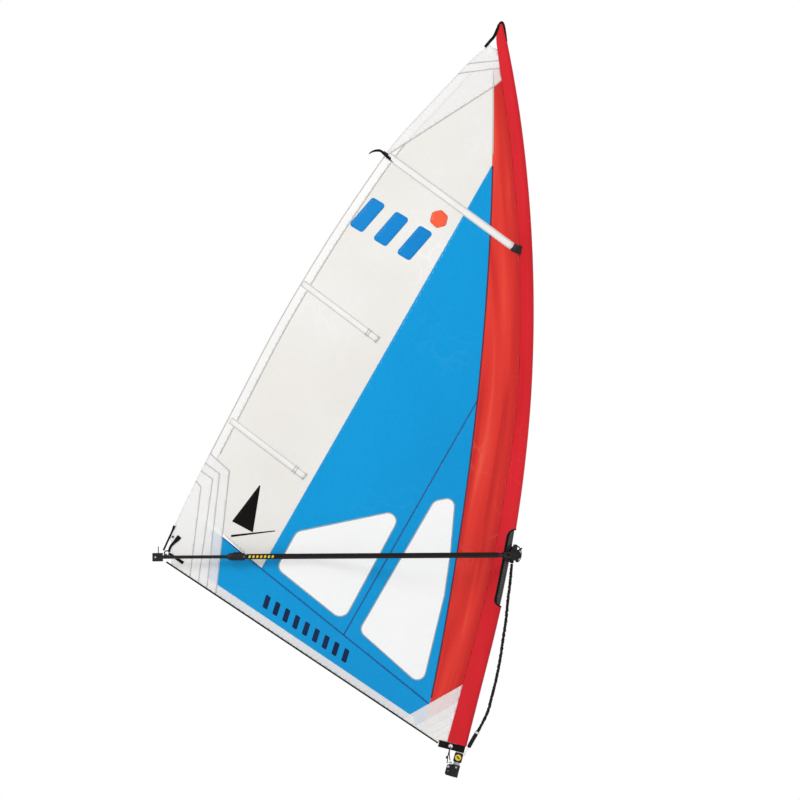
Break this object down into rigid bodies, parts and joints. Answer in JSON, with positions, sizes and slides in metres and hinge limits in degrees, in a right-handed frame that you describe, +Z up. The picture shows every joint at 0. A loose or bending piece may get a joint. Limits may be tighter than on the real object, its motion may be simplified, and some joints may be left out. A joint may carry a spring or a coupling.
{
  "type": "windsurf sail rig",
  "caption": "Windsurf sail rig: cambered panelled sail on a bent two-piece mast, with wishbone boom, battens, uphaul rope and downhaul foot.",
  "frame": {"origin": "centre of the foot's socket mouth, at the bottom of the mast foot", "axes": "+Z up, +X forward from the clew towards the mast, +Y to port; the mast's foot leans 14.3 degrees forward from +Z"},
  "size_m": [2.3792, 0.5224, 4.7301],
  "materials": {
    "black_plastic": "satin moulding",
    "carbon": "gloss",
    "alloy": "dark anodised",
    "steel": "polished",
    "grip": "ribbed foam",
    "rope": "braided",
    "white_cord": "braided",
    "red_cloth": "woven",
    "white_cloth": "woven",
    "webbing": "woven",
    "red_film": "glossy film",
    "blue_film": "glossy film",
    "window_film": "clear film",
    "fibreglass": "smooth",
    "yellow_plastic": "satin moulding"
  },
  "bodies": {
    "foot": {"foot_housing": "black_plastic", "extension_tube": "alloy", "downhaul_cleat": "alloy", "downhaul_line": "rope"},
    "upper_sheave": {"foot_sheave_upper": "alloy"},
    "lower_sheave": {"foot_sheave_lower": "alloy"},
    "rig": {"mast_collar": "black_plastic", "mast_bottom": "carbon", "mast_top": "carbon", "mast_ferrule": "carbon", "mast_tip_plug": "black_plastic", "luff_sleeve": "red_cloth", "cutout_binding": "webbing", "tack_hem": "webbing", "tack_ring": "steel", "head_webbing": "webbing", "luff_panel": "red_film", "head_panel": "white_cloth", "leech_tape": "white_cloth", "leech_panel": "white_cloth", "main_panel_aft": "blue_film", "main_panel_fore": "blue_film", "window_aft": "window_film", "window_fore": "window_film", "foot_panel": "blue_film", "foot_tape": "white_cloth", "clew_patch": "white_cloth", "tack_patch": "white_cloth", "foot_binding": "webbing", "batten_top": "fibreglass", "batten_mid": "fibreglass", "batten_low": "fibreglass", "batten_pocket_top": "white_cloth", "batten_pocket_mid": "white_cloth", "batten_pocket_low": "white_cloth", "batten_cap": "black_plastic", "batten_buckle": "black_plastic", "clew_ring": "black_plastic", "clew_strap": "webbing"},
    "button": {"collar_button": "yellow_plastic"},
    "boom_head": {"head_clamp": "black_plastic", "clamp_strap": "webbing", "uphaul_rope": "rope", "uphaul_handle": "rope", "uphaul_tail": "white_cord"},
    "lever": {"clamp_lever": "black_plastic"},
    "boom": {"front_bar": "black_plastic", "arm_port": "alloy", "arm_starboard": "alloy", "grip_port": "grip", "grip_starboard": "grip", "clip_collar_port": "black_plastic", "clip_collar_starboard": "black_plastic"},
    "clip_port": {"clip_lever_port": "black_plastic"},
    "clip_starboard": {"clip_lever_starboard": "black_plastic"},
    "boom_tail": {"tail_tube": "alloy", "tail_fitting": "black_plastic", "outhaul_line": "rope"},
    "tail_sheave_port": {"tail_sheave_port": "alloy"},
    "tail_sheave_starboard": {"tail_sheave_starboard": "alloy"}
  },
  "joints": [
    {"name": "mast_slide", "type": "slide", "parent": "foot", "child": "rig", "axis": [0.247, 0, 0.969], "range_m": [0, 0.1], "deforming": ["downhaul_line"]},
    {"name": "upper_sheave_spin", "type": "hinge", "parent": "foot", "child": "upper_sheave", "pos_m": [-0.02784, 0, 0.06489], "axis": [0, 1, 0], "continuous": true},
    {"name": "lower_sheave_spin", "type": "hinge", "parent": "foot", "child": "lower_sheave", "pos_m": [-0.03257, 0, 0.03823], "axis": [0, 1, 0], "continuous": true},
    {"name": "button_press", "type": "slide", "parent": "rig", "child": "button", "axis": [0, 1, 0], "range_m": [0, 0.004], "stiffness_N_per_m": 600, "springref_m": -0.002},
    {"name": "boom_height", "type": "hinge", "parent": "rig", "child": "boom_head", "pos_m": [-8.28608, 0, 2.95832], "axis": [0, -1, 0], "range_deg": [-1.4, 0.4], "deforming": ["uphaul_rope", "uphaul_handle", "uphaul_tail"]},
    {"name": "lever_throw", "type": "hinge", "parent": "boom_head", "child": "lever", "pos_m": [0.3922, 0, 1.44524], "axis": [0, -1, 0], "range_deg": [0, 100]},
    {"name": "boom_pitch", "type": "hinge", "parent": "boom_head", "child": "boom", "pos_m": [0.38333, 0, 1.3879], "axis": [0, 1, 0], "range_deg": [-25, 30]},
    {"name": "clip_port_open", "type": "hinge", "parent": "boom", "child": "clip_port", "pos_m": [-1.3096, 0.099, 1.377], "axis": [0, 0, -1], "range_deg": [0, 60]},
    {"name": "clip_starboard_open", "type": "hinge", "parent": "boom", "child": "clip_starboard", "pos_m": [-1.3096, -0.099, 1.377], "axis": [0, 0, 1], "range_deg": [0, 60]},
    {"name": "boom_length", "type": "slide", "parent": "boom", "child": "boom_tail", "axis": [-1, 0, -0.0065], "range_m": [0, 0.2]},
    {"name": "tail_sheave_port_spin", "type": "hinge", "parent": "boom_tail", "child": "tail_sheave_port", "pos_m": [-1.83962, 0.03, 1.37354], "axis": [-0.0065, 0, 1], "continuous": true},
    {"name": "tail_sheave_starboard_spin", "type": "hinge", "parent": "boom_tail", "child": "tail_sheave_starboard", "pos_m": [-1.83962, -0.03, 1.37354], "axis": [-0.0065, 0, 1], "continuous": true}
  ]
}
